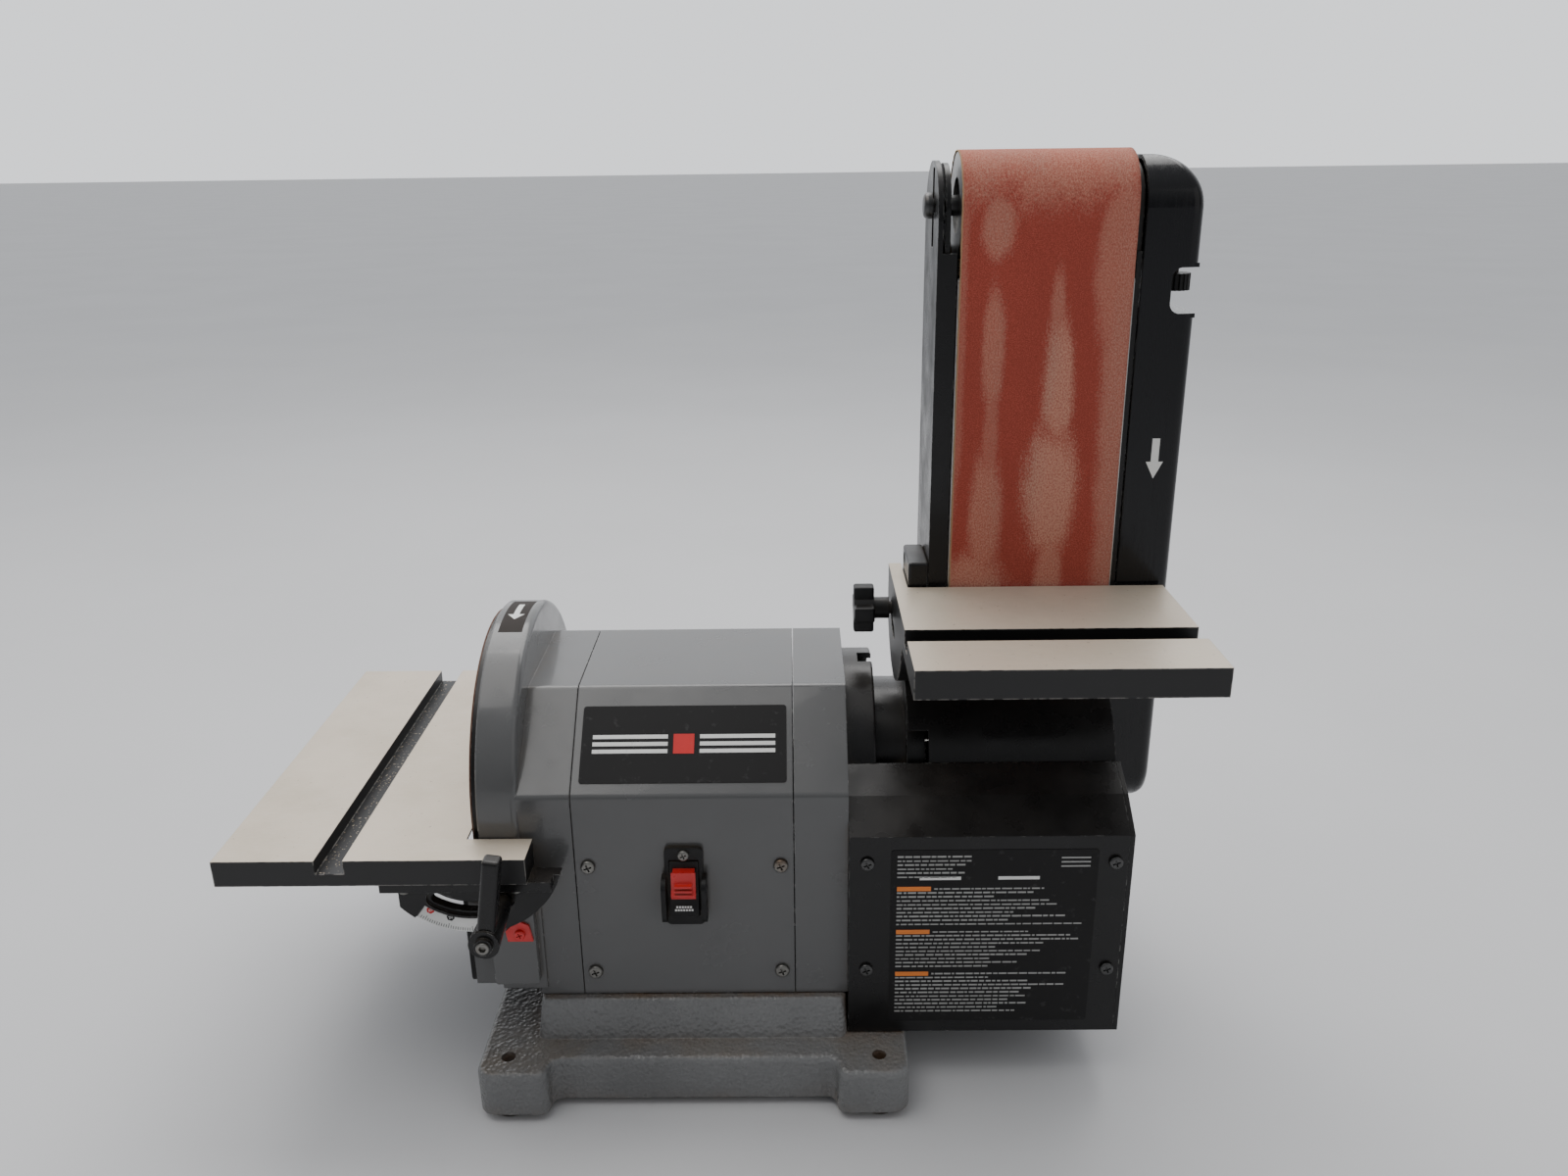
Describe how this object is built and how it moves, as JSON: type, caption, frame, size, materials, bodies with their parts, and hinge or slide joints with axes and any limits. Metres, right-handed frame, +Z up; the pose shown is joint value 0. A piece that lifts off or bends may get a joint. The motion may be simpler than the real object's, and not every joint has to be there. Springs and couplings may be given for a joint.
{
  "type": "belt and disc sander",
  "caption": "Bench sander with a vertical abrasive belt arm and a disc on one motor shaft, two tilting tables, on a cast base.",
  "frame": {"origin": "centre of the bench bolt pattern, on the bench plane under the feet", "axes": "+X along the motor shaft from the disc to the belt, +Y to the back of the machine, +Z up"},
  "size_m": [0.5934, 0.3395, 0.5758],
  "materials": {
    "base_iron": "grey hammered paint over cast iron, worn edges",
    "rubber": "matt black",
    "zinc": "zinc plated",
    "dark_screw": "black oxide",
    "grey_housing": "semi-gloss grey paint",
    "black_plastic": "matt black",
    "gloss_cover": "glossy black",
    "black_metal": "semi-gloss black paint",
    "steel": "bright steel",
    "lamination": "stacked electrical steel",
    "copper": "varnished copper wire",
    "aluminium": "machined",
    "ground_table": "ground working face, black painted edges",
    "belt_grit": "aluminium oxide grit on cloth, worn streaks",
    "disc_grit": "worn aluminium oxide grit",
    "label_black": "printed film",
    "scale_white": "printed film",
    "red_plastic": "red"
  },
  "bodies": {
    "stand": {"base_casting": "base_iron", "rubber_feet": "rubber", "frame_bolts": "zinc", "motor_cover": "grey_housing", "housing_screws": "zinc", "disc_end_housing": "grey_housing", "lower_disc_cover": "black_plastic", "belt_end_housing": "grey_housing", "motor_can": "steel", "motor_cradle": "black_metal", "end_bell_left": "aluminium", "end_bell_right": "aluminium", "shaft_bearings": "steel", "stator_core": "lamination", "stator_windings": "copper", "capacitor": "black_plastic", "capacitor_clip": "steel", "switch_frame": "black_plastic", "nameplate": "label_black", "rating_label": "label_black", "strain_relief": "rubber", "power_cord": "rubber", "pivot_collar": "black_metal", "dust_box": "black_metal", "dust_box_end_cover": "black_metal", "dust_box_screws": "dark_screw", "scale_pointer": "red_plastic"},
    "spindle": {"motor_shaft": "steel", "rotor": "lamination", "cooling_fan": "black_plastic", "disc_plate": "black_metal", "sanding_disc": "disc_grit", "set_screws": "dark_screw", "drive_drum": "aluminium"},
    "switch_rocker": {"switch_rocker": "black_plastic"},
    "safety_key": {"safety_key": "red_plastic"},
    "belt_arm": {"belt_arm_frame": "black_metal", "platen": "steel", "arm_rear_cover": "black_plastic", "side_cover": "gloss_cover", "side_cover_screws": "dark_screw", "abrasive_belt": "belt_grit", "table_bracket": "black_metal", "bracket_bolts": "dark_screw", "tension_spring": "steel"},
    "arm_lock_screw": {"arm_lock_screw": "dark_screw"},
    "idler_carriage": {"idler_yoke": "black_metal", "idler_axle": "dark_screw"},
    "idler": {"idler_roller": "aluminium", "idler_bearings": "steel"},
    "tension_lever": {"tension_lever": "black_metal"},
    "tracking_knob": {"tracking_knob": "black_plastic"},
    "belt_table": {"belt_table": "ground_table"},
    "table_knob": {"table_knob": "black_plastic"},
    "disc_table": {"disc_table": "ground_table", "trunnions": "black_metal", "trunnion_screws": "zinc", "angle_scale": "scale_white"},
    "front_lock_lever": {"front_lock_lever": "black_metal"},
    "rear_lock_lever": {"rear_lock_lever": "black_metal"}
  },
  "joints": [
    {"name": "spindle_spin", "type": "hinge", "parent": "stand", "child": "spindle", "pos_m": [0, 0, 0.184], "axis": [1, 0, 0], "continuous": true},
    {"name": "switch_rock", "type": "hinge", "parent": "stand", "child": "switch_rocker", "pos_m": [-0.0035, -0.101, 0.145], "axis": [1, 0, 0], "range_deg": [0, 14]},
    {"name": "key_pull", "type": "slide", "parent": "switch_rocker", "child": "safety_key", "axis": [0, -1, 0], "range_m": [0, 0.02]},
    {"name": "arm_tilt", "type": "hinge", "parent": "stand", "child": "belt_arm", "pos_m": [0, 0, 0.184], "axis": [-1, 0, 0], "range_deg": [0, 90]},
    {"name": "arm_lock", "type": "hinge", "parent": "belt_arm", "child": "arm_lock_screw", "pos_m": [0.1334, -0.059, 0.196], "axis": [0, 0, 1], "range_deg": [0, 180]},
    {"name": "tension_turn", "type": "hinge", "parent": "belt_arm", "child": "tension_lever", "pos_m": [0.2703, 0.028, 0.47], "axis": [1, 0, 0], "range_deg": [0, 90]},
    {"name": "carriage_slide", "type": "slide", "parent": "belt_arm", "child": "idler_carriage", "axis": [0, 0, -1], "range_m": [0, 0.008], "deforming": ["tension_spring"]},
    {"name": "idler_spin", "type": "hinge", "parent": "idler_carriage", "child": "idler", "pos_m": [0.2155, 0, 0.5446], "axis": [1, 0, 0], "continuous": true},
    {"name": "tracking_turn", "type": "hinge", "parent": "belt_arm", "child": "tracking_knob", "pos_m": [0.2992, 0.002, 0.499], "axis": [0, 0, 1], "range_deg": [-180, 180]},
    {"name": "belt_table_tilt", "type": "hinge", "parent": "belt_arm", "child": "belt_table", "pos_m": [0.1343, -0.0335, 0.3157], "axis": [1, 0, 0], "range_deg": [0, 45]},
    {"name": "table_knob_turn", "type": "hinge", "parent": "belt_arm", "child": "table_knob", "pos_m": [0.112, -0.012, 0.294], "axis": [1, 0, 0], "range_deg": [-180, 180]},
    {"name": "disc_table_tilt", "type": "hinge", "parent": "stand", "child": "disc_table", "pos_m": [-0.134, 0, 0.1805], "axis": [0, -1, 0], "range_deg": [0, 45]},
    {"name": "front_lever_turn", "type": "hinge", "parent": "stand", "child": "front_lock_lever", "pos_m": [-0.11549, -0.14, 0.14448], "axis": [0, 1, 0], "range_deg": [-100, 30]},
    {"name": "rear_lever_turn", "type": "hinge", "parent": "stand", "child": "rear_lock_lever", "pos_m": [-0.11549, 0.14, 0.14448], "axis": [0, 1, 0], "range_deg": [-100, 30]}
  ],
  "couplings": [
    {"joint": "idler_spin", "follows": "spindle_spin", "ratio": 1},
    {"joint": "tension_turn", "follows": "carriage_slide", "rad_per_m": 196.35}
  ]
}
